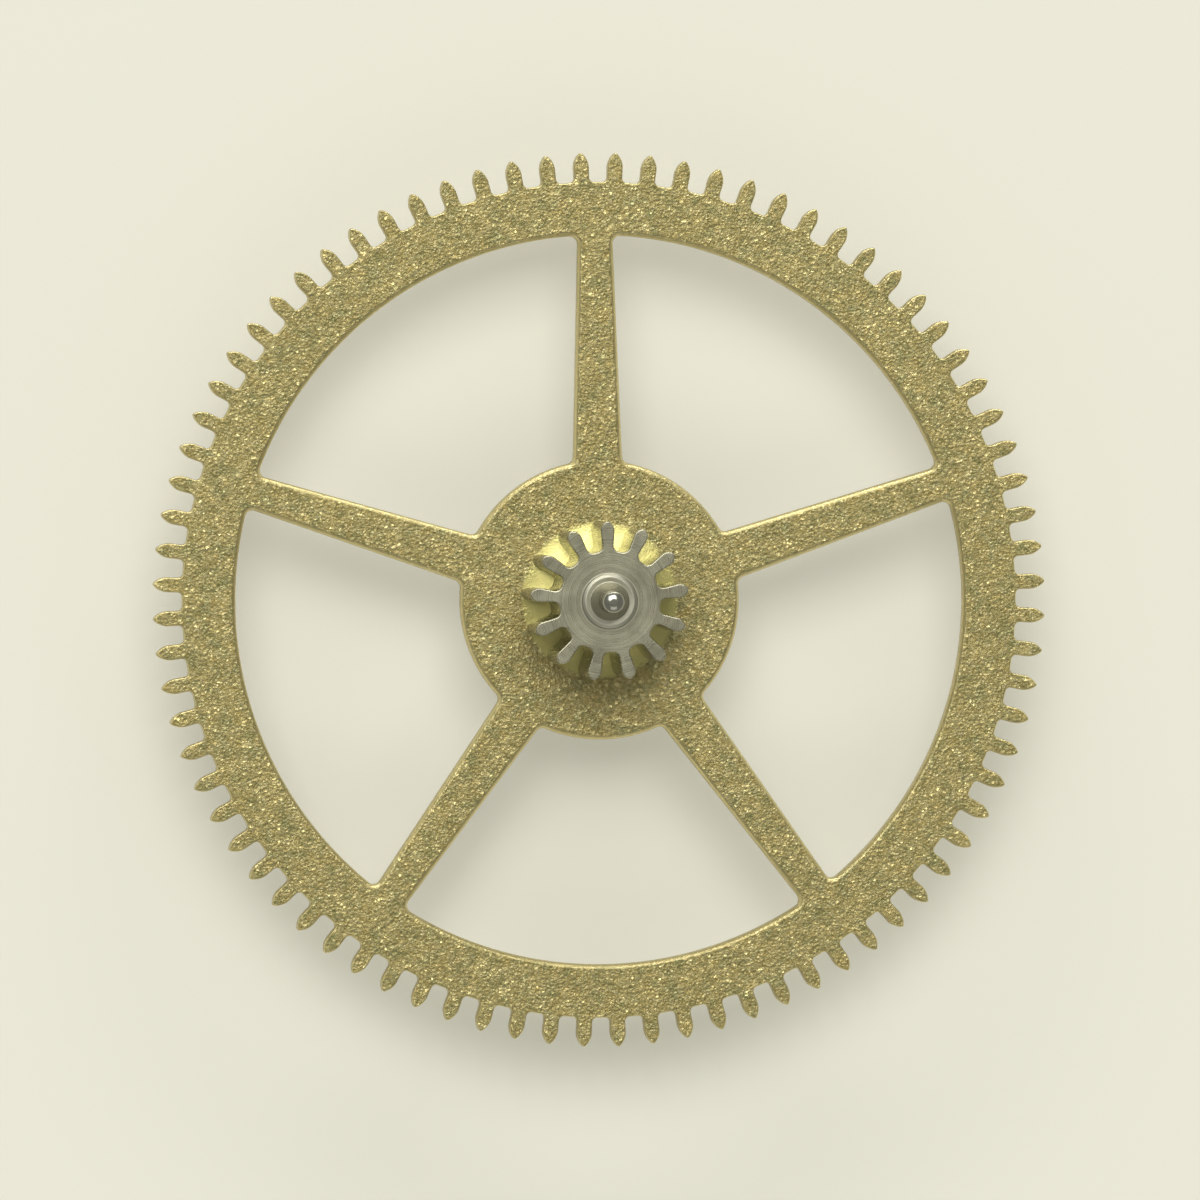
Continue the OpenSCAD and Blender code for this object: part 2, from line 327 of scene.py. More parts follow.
def arc_with_corners(angles, r, corner, corner_from, corner_to, out):
    """Window edge along the rim or the hub, for a sector that is centred on the angle 0.

    Inside the arc a station keeps its own angle on the circle. Beyond it the station goes round half
    of the punch's corner, evenly, so that the last one is the middle of that corner. out is 1 where
    the normal of the arc points away from the arbor, and -1 where it points at it.
    """
    limit = sector / 2 - (TAU / 4 - np.arctan2(corner[1], corner[0]))
    past = np.clip((np.abs(angles) - limit) / (sector / 2 - limit), 0, 1)
    turn_a = corner_from + (corner_to - corner_from) * past
    local = corner + on_circle(window_corner_r, turn_a)
    bent = turned(local, sector / 2 - TAU / 4)
    bent_n = turned(-on_circle(1.0, turn_a), sector / 2 - TAU / 4)
    flip = np.where(angles < 0, -1.0, 1.0)[:, None] * np.array([[0, 1.0]]) + np.array([[1.0, 0]])
    inside = (np.abs(angles) <= limit)[:, None]
    points = np.where(inside, on_circle(r, angles), bent * flip)
    normals = np.where(inside, out * on_circle(1.0, angles), bent_n * flip)
    return points, normals


side_steps, hub_steps = (6, 24, 6), 56
print("one side of a window:", len(window_side(side_steps)[0]), "stations")

# %% [markdown]
# One window and the metal around it is a fifth of the wheel: a loop round the window, and a loop of the
# same number of stations that runs along the rim's ring, down the middle of one spoke, along the hub's
# ring and up the middle of the next spoke. Straight strips between the two loops fill the face, and
# five turned copies fit together without a gap.

# %% One window and the loop around it
mid = TAU / 4 + sector / 2
rim_pts, rim_n = arc_with_corners(ring_a - mid, rim_inner_r, rim_corner, rim_corner_a, rim_half_a, -1)
hub_angles = np.linspace(sector / 2, -sector / 2, hub_steps + 1)
hub_pts, hub_n = arc_with_corners(hub_angles, hub_r, hub_corner, hub_corner_a, hub_half_a, 1)
side_pts, side_normals = window_side(side_steps)
down_pts, down_n = turned(side_pts, sector), turned(side_normals, sector)
up_pts, up_n = mirrored(side_pts), mirrored(side_normals)

window = np.concatenate([turned(rim_pts, mid)[:-1], down_pts[:-1],
                         turned(hub_pts, mid)[:-1], up_pts[:-1]])
window_n = np.concatenate([turned(rim_n, mid)[:-1], down_n[:-1],
                           turned(hub_n, mid)[:-1], up_n[:-1]])
fall = np.linspace(ring_r, hub_ring_r, sum(side_steps) + 1)
border = np.concatenate([on_circle(ring_r, ring_a)[:-1], on_circle(fall, TAU / 4 + sector)[:-1],
                         on_circle(hub_ring_r, hub_angles + mid)[:-1],
                         on_circle(fall[::-1], TAU / 4)[:-1]])
gap = np.linalg.norm(np.roll(window, -1, axis=0) - window, axis=1)
print("window:", len(window), "stations, longest step", round(float(gap.max()), 4), "mm, border",
      len(border), "stations")

# %% [markdown]
# Turned profiles. Everything round on this part was cut on a lathe: the bore, the seat, the arbor and
# the pivots. A lathe leaves corners that are a little rounded, and each of those roundings holds a
# highlight. Blender's Screw modifier could turn a profile too, but it knows nothing of rounded corners
# or of exact normals. So the next helper takes a profile as plain corners, rounds every one of them by
# its own radius, and works out the normals along the way. A second one carries it round the axis.

# %% Helper: a turned profile with rounded corners
def rounded(corners, radii, steps=6):
    """Profile through the given corners, each rounded by its own radius.

    A corner with the half angle b between its sides starts its arc r / tan b away from the corner.
    Going round the axis anticlockwise, the normal of a profile that moves by (dr, dz) is (dz, -dr), so
    an arc's normals swing evenly from the normal of one side to that of the next.
    Returns the radii, the heights and the two parts of the normals.
    """
    c = np.array(corners, float)
    along = np.diff(c, axis=0)
    along /= np.linalg.norm(along, axis=1)[:, None]
    heading = np.unwrap(np.arctan2(along[:, 1], along[:, 0]))
    places, ways = [c[:1]], [heading[:1]]
    for k, r in enumerate(radii, start=1):
        bend = heading[k] - heading[k - 1]
        way = heading[k - 1] + bend * np.linspace(0, 1, steps + 1)
        start = c[k] - along[k - 1] * r * np.tan(abs(bend) / 2)
        side = np.sign(bend)
        centre = start + side * r * np.array([-np.sin(way[0]), np.cos(way[0])])
        places.append(centre + side * r * np.stack([np.sin(way), -np.cos(way)], axis=-1))
        ways.append(way)
    places, ways = np.concatenate(places + [c[-1:]]), np.concatenate(ways + [heading[-1:]])
    return places[:, 0], places[:, 1], np.sin(ways), -np.cos(ways)


def round_the_axis(profile, angles):
    """A profile carried round the axis: radius and height turned to a place at every angle."""
    r, z, out, up = profile
    spin = on_circle(1.0, angles)
    return (lifted(r[:, None, None] * spin[None], z[:, None]),
            lifted(out[:, None, None] * spin[None], up[:, None]))


print("one corner becomes", len(rounded([(0, 0), (1, 0), (1, 1)], [0.1])[0]) - 2, "places")

# %% [markdown]
# The wheel. A stamped and gilt wheel has no truly sharp edge. The punch draws the metal in a little
# where it enters, so the upper edges of the windows are rolled, and tumbling and gilding take the
# bite off all the others. Those narrow rolled edges are what shines in the picture: the flat faces
# are grained and look soft, while a rolled edge always has a spot that faces the light. A Bevel
# modifier could round them, but not differently above and below, so a profile carries each outline
# through the thickness: face, quarter round, wall, quarter round, face.

# %% Helpers: an outline carried through the thickness
tooth_edges, window_edges = (0.008, 0.015), (0.010, 0.045)  # radii below and above
wall_mark = 0.35  # how much of the rolled edges' shine is left on the punched walls


def through_thickness(loop, normals, low_r, high_r, steps=5):
    """Rows that carry an outline from its lower face, round both edges, to its upper face.

    On a quarter round of the radius r at the angle a the outline moves in by r (1 - sin a) and away
    from the face by r (1 - cos a), and the normal is the outline's own times sin a, with cos a upward.
    The third result marks the rolled edge: it rises with sin a and falls again towards the wall.
    """
    a = np.linspace(0, TAU / 4, steps + 1)
    inset = np.concatenate([low_r * (1 - np.sin(a)), high_r * (1 - np.sin(a[::-1]))])
    z = np.concatenate([wheel_bottom + low_r * (1 - np.cos(a)),
                        wheel_top - high_r * (1 - np.cos(a[::-1]))])
    level = np.concatenate([-np.cos(a), np.cos(a[::-1])])
    flat = np.concatenate([np.sin(a), np.sin(a[::-1])])
    mark = np.minimum(flat, wall_mark + level ** 2)
    points = lifted(loop[None] - inset[:, None, None] * normals[None], z[:, None])
    return points, lifted(flat[:, None, None] * normals[None], level[:, None]), mark


def stacked(*rows):
    """Rows of points or normals put on top of each other as one grid."""
    return np.concatenate([r if r.ndim == 3 else r[None] for r in rows])


def facing(count, up):
    """The same straight-up or straight-down normal for a whole row."""
    return np.broadcast_to(np.array([0, 0, up], float), (count, 3))


print("rolled edges in mm, below and above: teeth", tooth_edges, "windows", window_edges)

# %% [markdown]
# The toothed edge runs from a ring under the face, round the teeth's wall, to the same ring on the
# face. The windows run the other way, from the face down to the underside, so that their walls face
# the hole.

# %% The toothed edge and the five windows
rows, row_n, rolled = through_thickness(edge, edge_n, *tooth_edges, steps=4)
ring = on_circle(ring_r, edge_a)
tooth_patch = patch(stacked(lifted(ring, wheel_bottom), rows, lifted(ring, wheel_top)),
                    stacked(facing(len(edge), -1), row_n, facing(len(edge), 1)),
                    np.concatenate([[0], rolled, [0]])[:, None])
rows, row_n, rolled = through_thickness(window, window_n, *window_edges)
window_rows = stacked(lifted(border, wheel_top), rows[::-1], lifted(border, wheel_bottom))
window_normals = stacked(facing(len(window), 1), row_n[::-1], facing(len(window), -1))
window_marks = np.concatenate([[0], rolled[::-1], [0]])[:, None]


def swung(grid, a):
    """A grid of three-part points or normals turned about the arbor."""
    return np.concatenate([turned(grid[..., :2], a), grid[..., 2:]], axis=-1)


window_patches = [patch(swung(window_rows, k * sector), swung(window_normals, k * sector), window_marks)
                  for k in range(spokes)]
print("teeth:", len(tooth_patch["faces"]), "faces, windows:", spokes, "times",
      len(window_patches[0]["faces"]), "faces")

# %% [markdown]
# Round the pinion the face isn't quite flat. When the rivet was set, the leaves bit into the brass, and
# the brass rose a little between them and over the edge of the seat. That low collar leans outwards,
# so it glows on the side of the light, in every space between two leaves. It could be a ring of its
# own, but it is the wheel's own brass, so the bore's profile includes it: the face, the collar, the
# bore and the countersink that the rivet fills.

# %% The collar and the bore, and the wheel sewn together
collar_r, collar_h, collar_flare_r, collar_tuck = 0.66, 0.035, 1.2, 0.01
collar_inner_r = leaf["pitch_r"] - leaf["dedendum"] - collar_tuck
hub_ring_a = TAU / 4 + TAU * np.arange(spokes * hub_steps) / (spokes * hub_steps)
bore_profile = rounded(
    [(hub_ring_r, wheel_top), (collar_r, wheel_top), (collar_inner_r, wheel_top + collar_h),
     (collar_inner_r, wheel_top), (seat_r, wheel_top), (seat_r, wheel_bottom + countersink),
     (rivet_r, wheel_bottom), (hub_ring_r, wheel_bottom)],
    [collar_flare_r, 0.005, 0.002, 0.002, 0.004, 0.004], steps=8)
bore_rows, bore_normals = round_the_axis(bore_profile, hub_ring_a)
bore_patch = patch(bore_rows, bore_normals)
print("collar:", collar_h, "mm high, from", round(collar_inner_r, 3), "to", collar_r, "mm")

wheel = sewn("wheel_gilt", [tooth_patch, bore_patch] + window_patches, "rolled")

# %% [markdown]
# The pinion. It is turned from one bar on a lathe, then its leaves are milled and everything is
# hardened, polished and burnished. Thirteen cuts could be taken out of a cylinder, as the milling
# cutter does. It is simpler to carry a profile round the axis twice over: once round plain circles for
# the seat, the rivet, the arbor and the lower pivot, and once round the outline of the leaves. Above
# the leaves the rows run from the outline to circles without a break: the flat face of the leaves, a
# low ring with a shallow hollow inside it, the cone that ends in the hollow curve of the graver at the
# foot of the pivot, and the pivot with its rounded end. The ring has a slope on both sides, so one
# side of it always shines while the hollow inside it stays dark.

# %% The leaves and everything above them
face_ring_r, leaf_edge_r = 0.40, 0.013
graver_r, pivot_edge_r, dome_edge_r = 0.060, 0.030, 0.120
ring_edge, ring_crest, ring_hollow = (0.246, 0.020), (0.217, 0.031), (0.174, 0.020)
upper_profile = rounded(
    [(face_ring_r, leaf_top), (boss_foot_r, leaf_top), (ring_edge[0], leaf_top + ring_edge[1]),
     (ring_crest[0], leaf_top + ring_crest[1]), (ring_hollow[0], leaf_top + ring_hollow[1]),
     (pivot_r, leaf_top + cone_rise), (pivot_r, pinion_top - dome_h), (dome_r, pinion_top),
     (0, pinion_top)],
    [0.008, 0.012, 0.030, 0.010, graver_r, pivot_edge_r, dome_edge_r], steps=8)

leaf_stops, leaf_steps = [180 / leaf["count"], 12.8], (7, 9, 8)
wall_rows, edge_rows = 5, 7
milled_rows = 9  # the flanks and half of their round edge show the cutter's marks
flank, flank_n, flank_a = toothed(leaf, leaf_stops, leaf_steps, TAU / 4)
a = np.linspace(TAU / 4, 0, edge_rows)
inset = leaf_edge_r * (1 - np.sin(a))
edge_z = leaf_top - leaf_edge_r * (1 - np.cos(a))
wall_z = np.linspace(wheel_top, edge_z[0], wall_rows + 1)[:-1]
leaf_rows = stacked(lifted(0 * flank, wheel_top), lifted(flank, wheel_top),
                    lifted(np.broadcast_to(flank, (wall_rows,) + flank.shape), wall_z[:, None]),
                    lifted(flank[None] - inset[:, None, None] * flank_n[None], edge_z[:, None]))
leaf_normals = stacked(facing(len(flank), -1), facing(len(flank), -1),
                       lifted(np.broadcast_to(flank_n, (wall_rows,) + flank.shape), 0.0),
                       lifted(np.sin(a)[:, None, None] * flank_n[None], np.cos(a)[:, None]))
top_rows, top_normals = round_the_axis(upper_profile, flank_a)
milled = np.zeros(len(leaf_rows) + len(top_rows))
milled[2:2 + milled_rows] = 1.0
leaf_patch = patch(stacked(leaf_rows, top_rows), stacked(leaf_normals, top_normals), milled[:, None])
print("leaves:", len(flank), "stations,", len(leaf_rows) + len(top_rows), "rows")

# %% [markdown]
# Below the leaves. The seat passes through the wheel's bore and its end is riveted over in a staking
# tool: a hollow punch spreads the lip into the countersink and leaves a shallow ring in it. The lip
# could be a mesh of its own, but it is one piece of steel with the arbor and the pivot, so one profile
# carries all of them.

# %% The seat, the rivet, the lower arbor and its pivot
punch_in = arbor_r + (rivet_r - arbor_r - punch_w) / 2
lip_z, foot_r, hidden_r = wheel_bottom - rivet_t, 0.012, 0.002
core_r, core_top, core_stations = 0.75 * seat_r, wheel_top + 0.2, 360
lower_profile = rounded(
    [(0, 0), (dome_r, 0), (pivot_r, dome_h), (pivot_r, pivot_length),
     (arbor_r - arbor_bevel, pivot_length), (arbor_r, pivot_length + arbor_bevel), (arbor_r, lip_z),
     (punch_in, lip_z), (punch_in + punch_w / 4, lip_z + punch_depth),
     (punch_in + 3 * punch_w / 4, lip_z + punch_depth), (punch_in + punch_w, lip_z), (rivet_r, lip_z),
     (rivet_r, wheel_bottom), (seat_r, wheel_bottom + countersink), (seat_r, wheel_top),
     (core_r, wheel_top), (core_r, core_top), (0, core_top)],
    [dome_edge_r, pivot_edge_r, foot_r, 0.005, 0.005, foot_r, 0.008, 0.015, 0.015, 0.010, foot_r]
    + 5 * [hidden_r])
core_a = TAU * np.arange(core_stations) / core_stations
core_rows, core_normals = round_the_axis(lower_profile, core_a)
print("core profile:", len(lower_profile[0]), "places up to", round(core_top, 3), "mm")

# %% [markdown]
# The seat was turned down from the milled leaves, so the lip still shows where the thirteen leaves
# were, as faint hollows between them. A Displace modifier could press them in, but the normals have to
# tilt with them. So a ripple is added to the rows of the lip alone. A hollow is a raised cosine over
# half of a leaf's pitch that fades out towards the arbor and the lip's edge, and its slopes along and
# across the lip tilt the normals.

# %% Thirteen faint hollows in the riveted lip
hollow_depth = 0.012
r, z, out, up = lower_profile
faces_down, near_lip = up < -0.3, np.abs(z - lip_z) < 2 * punch_depth
on_lip = faces_down & near_lip & (r > punch_in) & (r < rivet_r)
share = np.clip((r - punch_in) / (rivet_r - punch_in), 0, 1)
fade = np.sin(np.pi * share) ** 2
fade_slope = np.sin(2 * np.pi * share) * np.pi / (rivet_r - punch_in)
wave_a = leaf["count"] * (core_a - TAU / 4 - np.radians(leaf["turn"]))
swell = np.clip(-np.cos(wave_a), 0, 1)
hollow, hollow_slope = swell ** 2, 2 * swell * np.sin(wave_a) * leaf["count"]
depth = hollow_depth * on_lip
core_rows[..., 2] += (depth * fade)[:, None] * hollow[None]
radial = (depth * fade_slope)[:, None] * hollow[None] * -up[:, None]
across = (depth * fade / np.maximum(r, pivot_r))[:, None] * hollow_slope[None] * -up[:, None]
spin, side = on_circle(1.0, core_a), on_circle(1.0, core_a + TAU / 4)
core_normals[..., :2] += radial[..., None] * spin[None] + across[..., None] * side[None]
core_patch = patch(core_rows, core_normals)
print("core:", core_rows.shape[0], "rows,", core_rows.shape[1], "stations")

pinion = sewn("pinion_steel", [leaf_patch, core_patch], "milled")

# %% [markdown]
# Checking the surfaces before any paint goes on. The volume inside a closed mesh is a sum of small
# pyramids, and it comes out negative when the faces are inside out. It should be close to the volume
# of the solids, a little less because of the rounded edges. The pinion counts more than its solid,
# because its core runs on inside the leaves.

# %% Measure both meshes
def volume_mm3(piece):
    """Sum over the triangles of corner dot (corner cross corner) / 6, in cubic millimetres."""
    mesh = piece.data
    mesh.calc_loop_triangles()
    co = np.empty(3 * len(mesh.vertices))
    mesh.vertices.foreach_get("co", co)
    tri = np.empty(3 * len(mesh.loop_triangles), np.int32)
    mesh.loop_triangles.foreach_get("vertices", tri)
    a, b, c = co.reshape(-1, 3)[tri.reshape(-1, 3)].transpose(1, 0, 2)
    return float(np.einsum("ij,ij->i", a, np.cross(b, c)).sum() / 6 / MM ** 3)


for piece in (wheel, pinion):
    print(piece.name, "holds", round(volume_mm3(piece), 3), "mm3")

# %% [markdown]
# Materials. A finish could be painted into an image and wrapped round the piece, but grain this fine
# would need a huge image to stay sharp up close. So every material below is built from nodes on the
# surface's own place in millimetres: the patterns sit on the metal and are the same from every side.
# One helper adds a node with its settings and its links, one turns the hex values of a colour chart
# into the linear values that the shader works with, and one gives a place as a lathe sees it, by its
# distance from the axis and its height.

# %% Helpers: colours and nodes
def linear(hex_value):
    """sRGB hex to linear: c / 12.92 below 0.04045, else ((c + 0.055) / 1.055) to the power 2.4."""
    c = np.array([int(hex_value[i:i + 2], 16) for i in (1, 3, 5)]) / 255
    c = np.where(c <= 0.04045, c / 12.92, ((c + 0.055) / 1.055) ** 2.4)
    return (float(c[0]), float(c[1]), float(c[2]), 1.0)


def new_material(name):
    """An empty node material and its tree."""
    material = bpy.data.materials.new(name)
    material.use_nodes = True
    material.node_tree.nodes.clear()
    return material, material.node_tree


def add(tree, kind, links=None, values=None, stops=(), **settings):
    """One node: settings are its own properties, values fill its sockets and links join other sockets.

    stops are a colour ramp's points, each a position and a colour, given as a hex value or a grey.
    """
    node = tree.nodes.new(kind)
    for key, value in settings.items():
        setattr(node, key, value)
    for key, value in (values or {}).items():
        node.inputs[key].default_value = value
    for key, socket in (links or {}).items():
        tree.links.new(socket, node.inputs[key])
    points = node.color_ramp.elements if stops else []
    while len(points) < len(stops):
        points.new(0.5)
    for point, (at, colour) in zip(points, stops):
        point.position = at
        point.color = linear(colour) if isinstance(colour, str) else (colour, colour, colour, 1.0)
    return node


def from_the_axis(tree, place):
    """The distance of a place from the arbor's axis, which is the length of (x, y, 0), and its z."""
    axes = add(tree, "ShaderNodeSeparateXYZ", {"Vector": place}).outputs
    level = add(tree, "ShaderNodeCombineXYZ", {"X": axes["X"], "Y": axes["Y"]}).outputs[0]
    distance = add(tree, "ShaderNodeVectorMath", {0: level}, operation="LENGTH").outputs["Value"]
    return distance, axes["Z"]


per_mm = 1 / MM
print("a pattern 1 mm wide has the scale", round(per_mm))

# %% [markdown]
# Gilt brass. Watch wheels are stamped from hard sheet brass, grained with a brush and a paste until
# the surface is an even frost of tiny pits and grains, and then gilt in a bath. The gold layer is far
# too thin to fill the grain. To the eye that gives a soft olive gold with no clear reflections,
# sprinkled with sparks where single grains happen to face a light. A plain gold colour with a bump
# would look like painted plastic. So patterns of real grain size share out colour, gloss and relief
# among them: noises for the pits, cells for single grains, and a cloudy noise for the places where the
# brush ran longer. Real frosting has grains of 10 to 30 micrometres, and the pits here are drawn a
# little coarser, so that they show in a picture of the whole wheel.

# %% The grain of the gilt brass
pit_mm, fine_pit_mm, fleck_mm, cloud_mm = 0.034, 0.012, 0.028, 0.14

gilt, t = new_material("gilt_grained_brass")
place = add(t, "ShaderNodeTexCoord").outputs["Object"]
pits, fine_pits, clouds = [
    add(t, "ShaderNodeTexNoise", {"Vector": place},
        {"Scale": per_mm / size, "Detail": detail, "Roughness": rough}).outputs["Fac"]
    for size, detail, rough in ((pit_mm, 3.0, 0.62), (fine_pit_mm, 2.0, 0.6), (cloud_mm, 4.0, 0.65))]
flecks = add(t, "ShaderNodeTexVoronoi", {"Vector": place}, {"Scale": per_mm / fleck_mm},
             voronoi_dimensions="3D", feature="F1")
fleck = add(t, "ShaderNodeSeparateColor", {"Color": flecks.outputs["Color"]}).outputs
# random grains that are smoother, and whose colour is painted lighter further down as a painted glint
glint_grains = add(t, "ShaderNodeMapRange", {"Value": fleck["Red"]},
            {"From Min": 0.86, "From Max": 1.0}).outputs["Result"]
print("grains of", fleck_mm, "mm, pits of", pit_mm, "and", fine_pit_mm, "mm")

# %% [markdown]
# Two places on the brass are smooth. The rolled edges carry the attribute that was written with the
# wheel's surface. The collar between the leaves was pressed by the riveting tools and rubbed bright,
# and no graining brush reaches it. It could have an attribute too, but it is simply all the brass that
# lies above the face and near the leaves, so its radius and its height find it.

# %% The smooth places on the brass
collar_from, collar_to, face_margin = 0.68, 0.72, 0.01
# the rolled edges: smoother gilding, and the same mask lays a pale painted highlight into the colour
# below
rub_and_sheen = add(t, "ShaderNodeMapRange",
             {"Value": add(t, "ShaderNodeAttribute", attribute_name="rolled").outputs["Fac"]},
             {"From Min": 0.15, "From Max": 0.8}).outputs["Result"]
radius, along = from_the_axis(t, place)
near_leaves = add(t, "ShaderNodeMapRange", {"Value": radius},
                  {"From Min": collar_from * MM, "From Max": collar_to * MM, "To Min": 1.0,
                   "To Max": 0.0}).outputs["Result"]
above = add(t, "ShaderNodeMath", {0: along}, {1: (wheel_top - face_margin) * MM},
            operation="GREATER_THAN").outputs[0]
collar = add(t, "ShaderNodeMath", {0: near_leaves, 1: above}, operation="MULTIPLY").outputs[0]
bright = add(t, "ShaderNodeMath", {0: rub_and_sheen, 1: collar}, operation="MAXIMUM").outputs[0]
print("smooth brass: the rolled edges, and the face up to", collar_to, "mm from the axis")

# %% [markdown]
# The colour and the gloss follow the same grains, which is what makes a metal look real: a pit is
# darker and duller at once, and a sparkling grain is smoother and is painted lighter, a painted glint
# for a grain that faces a lamp. The pale colour of the rolled edges is likewise part burnished gilding,
# part painted highlight. One ramp could give the colour, but then a sparkling grain in a pit would
# look like the pit. So there are layers, each laid over the ones below by its own share.

# %% Colour and gloss of the brass
warmest = 0.35  # the most that a grain turns to the warmer gold
warm = add(t, "ShaderNodeMath", {0: fleck["Green"]}, {1: warmest}, operation="MULTIPLY").outputs[0]
colour = add(t, "ShaderNodeValToRGB", {"Fac": pits},
             stops=[(0.30, "#8C8558"), (0.50, "#A49C6D"), (0.72, "#BFB68B")]).outputs["Color"]
# the warm tint is the grains' own tone; the paler colour of the sparkling grains is a painted glint
for share, tint in ((warm, "#A79158"), (glint_grains, "#D6CA92")):
    colour = add(t, "ShaderNodeMix", {"Factor": share, "A": colour}, {"B": linear(tint)},
                 data_type="RGBA").outputs["Result"]
brushed = add(t, "ShaderNodeValToRGB", {"Fac": clouds},
              stops=[(0.34, "#D8DEDC"), (0.50, "#F2F0EC"), (0.66, "#FFFAF0")]).outputs["Color"]
colour = add(t, "ShaderNodeMix", {"A": colour, "B": brushed}, {"Factor": 1.0}, data_type="RGBA",
             blend_type="MULTIPLY").outputs["Result"]
# the collar's own smoother brass, and on the rolled edges a pale painted highlight over the burnished
# gilding
for share, tint in ((collar, "#C3BB78"), (rub_and_sheen, "#EBDDA4")):
    colour = add(t, "ShaderNodeMix", {"Factor": share, "A": colour}, {"B": linear(tint)},
                 data_type="RGBA").outputs["Result"]

roughness = add(t, "ShaderNodeMapRange", {"Value": pits},
                {"From Min": 0.3, "From Max": 0.7, "To Min": 0.52, "To Max": 0.36}).outputs["Result"]
for share, value in ((glint_grains, 0.28), (bright, 0.30)):
    roughness = add(t, "ShaderNodeMix", {"Factor": share, "A": roughness}, {"B": value},
                    data_type="FLOAT").outputs["Result"]
print("brass so far:", len(t.nodes), "nodes")

# %% [markdown]
# The relief. The pits go down, and every single grain is tilted its own way, like a tiny mirror. A
# bump is enough here, because the grain is a few micrometres deep and never shows in the outline.

# %% Relief and shader of the brass
pit_depth = 0.006
relief = add(t, "ShaderNodeMath", {0: flecks.outputs["Distance"], 1: fleck["Blue"]},
             operation="MULTIPLY").outputs[0]
for pattern, depth_share in ((fine_pits, 0.55), (pits, 0.5)):
    relief = add(t, "ShaderNodeMath", {0: pattern, 2: relief}, {1: depth_share},
                 operation="MULTIPLY_ADD").outputs[0]
calm = add(t, "ShaderNodeMapRange", {"Value": bright},
           {"To Min": 1.0, "To Max": 0.25}).outputs["Result"]
bump = add(t, "ShaderNodeBump", {"Height": relief, "Strength": calm}, {"Distance": pit_depth * MM})
shader = add(t, "ShaderNodeBsdfPrincipled",
             {"Base Color": colour, "Roughness": roughness, "Normal": bump.outputs["Normal"]},
             {"Metallic": 1.0})
add(t, "ShaderNodeOutputMaterial", {"Surface": shader.outputs["BSDF"]})
print("gilt brass:", len(t.nodes), "nodes")

# %% [markdown]
# Hardened steel. Pinions are of carbon steel, hardened and tempered, and polished leaf by leaf on a
# wooden disc with fine paste. The turned faces keep faint rings from the polishing lap, the flanks
# keep faint lines along the arbor, and the pivots are burnished. To the eye it is a warm grey that
# shows dark and bright sides close together. Anisotropic gloss could stand for the lines, but the
# rings and lines here really change direction from face to flank, so two patterns are mixed by the
# attribute of the milled flanks. They are under a micrometre deep and a few micrometres apart, and
# are drawn at 8 to 10 micrometres.

# %% The marks of lap and cutter on the steel
ring_mm, line_mm, stain_mm = 0.008, 0.010, 0.22
squeeze = (1.0, 1.0, 0.03)  # the lines are some 30 times as long as they are wide

steel, t = new_material("hardened_polished_steel")
place = add(t, "ShaderNodeTexCoord").outputs["Object"]
milled_flank = add(t, "ShaderNodeAttribute", attribute_name="milled").outputs["Fac"]
radius, along = from_the_axis(t, place)
ring_place = add(t, "ShaderNodeCombineXYZ", {"X": radius, "Y": along}).outputs[0]
rings = add(t, "ShaderNodeTexNoise", {"Vector": ring_place},
            {"Scale": per_mm / ring_mm, "Detail": 2.0}, noise_dimensions="2D").outputs["Fac"]
stretched = add(t, "ShaderNodeVectorMath", {0: place}, {1: squeeze}, operation="MULTIPLY").outputs[0]
lines = add(t, "ShaderNodeTexNoise", {"Vector": stretched},
            {"Scale": per_mm / line_mm, "Detail": 2.0}).outputs["Fac"]
marks = add(t, "ShaderNodeMix", {"Factor": milled_flank, "A": rings, "B": lines},
            data_type="FLOAT").outputs["Result"]
stain = add(t, "ShaderNodeTexNoise", {"Vector": place},
            {"Scale": per_mm / stain_mm, "Detail": 4.0}).outputs["Fac"]
print("rings of", ring_mm, "mm and lines of", line_mm, "mm on the steel")

# %% [markdown]
# Each part of the steel has its own gloss: the leaves are polished, the boss keeps the duller face that
# a fine graver leaves, and the pivot, which runs in a jewel, is burnished. Attributes could mark them,
# but they are rings round the axis, so the distance from it finds them.

# %% Colour, gloss and shader of the steel
polish_from, polish_to = 0.005, 0.015  # mm outside an edge, where the finish changes
boss, pivot = [
    add(t, "ShaderNodeMapRange", {"Value": radius},
        {"From Min": (edge_r + polish_from) * MM, "From Max": (edge_r + polish_to) * MM,
         "To Min": 1.0, "To Max": 0.0}).outputs["Result"]
    for edge_r in (boss_foot_r, pivot_r)]
grey = add(t, "ShaderNodeValToRGB", {"Fac": stain},
           stops=[(0.30, "#94917C"), (0.50, "#A5A28B"), (0.70, "#B6B39B")]).outputs["Color"]
marked = add(t, "ShaderNodeValToRGB", {"Fac": marks}, stops=[(0.3, 0.92), (0.7, 1.0)]).outputs["Color"]
colour = add(t, "ShaderNodeMix", {"A": grey, "B": marked}, {"Factor": 1.0}, data_type="RGBA",
             blend_type="MULTIPLY").outputs["Result"]
roughness = add(t, "ShaderNodeMapRange", {"Value": marks},
                {"From Min": 0.3, "From Max": 0.7, "To Min": 0.25, "To Max": 0.33}).outputs["Result"]
for share, tint, value in ((boss, "#A9A796", 0.40), (pivot, "#A5A497", 0.18)):
    colour = add(t, "ShaderNodeMix", {"Factor": share, "A": colour}, {"B": linear(tint)},
                 data_type="RGBA").outputs["Result"]
    roughness = add(t, "ShaderNodeMix", {"Factor": share, "A": roughness}, {"B": value},
                    data_type="FLOAT").outputs["Result"]
mark_depth = 0.001
bump = add(t, "ShaderNodeBump", {"Height": marks}, {"Strength": 0.3, "Distance": mark_depth * MM})
shader = add(t, "ShaderNodeBsdfPrincipled",
             {"Base Color": colour, "Roughness": roughness, "Normal": bump.outputs["Normal"]},
             {"Metallic": 1.0})
add(t, "ShaderNodeOutputMaterial", {"Surface": shader.outputs["BSDF"]})
print("hardened steel:", len(t.nodes), "nodes")
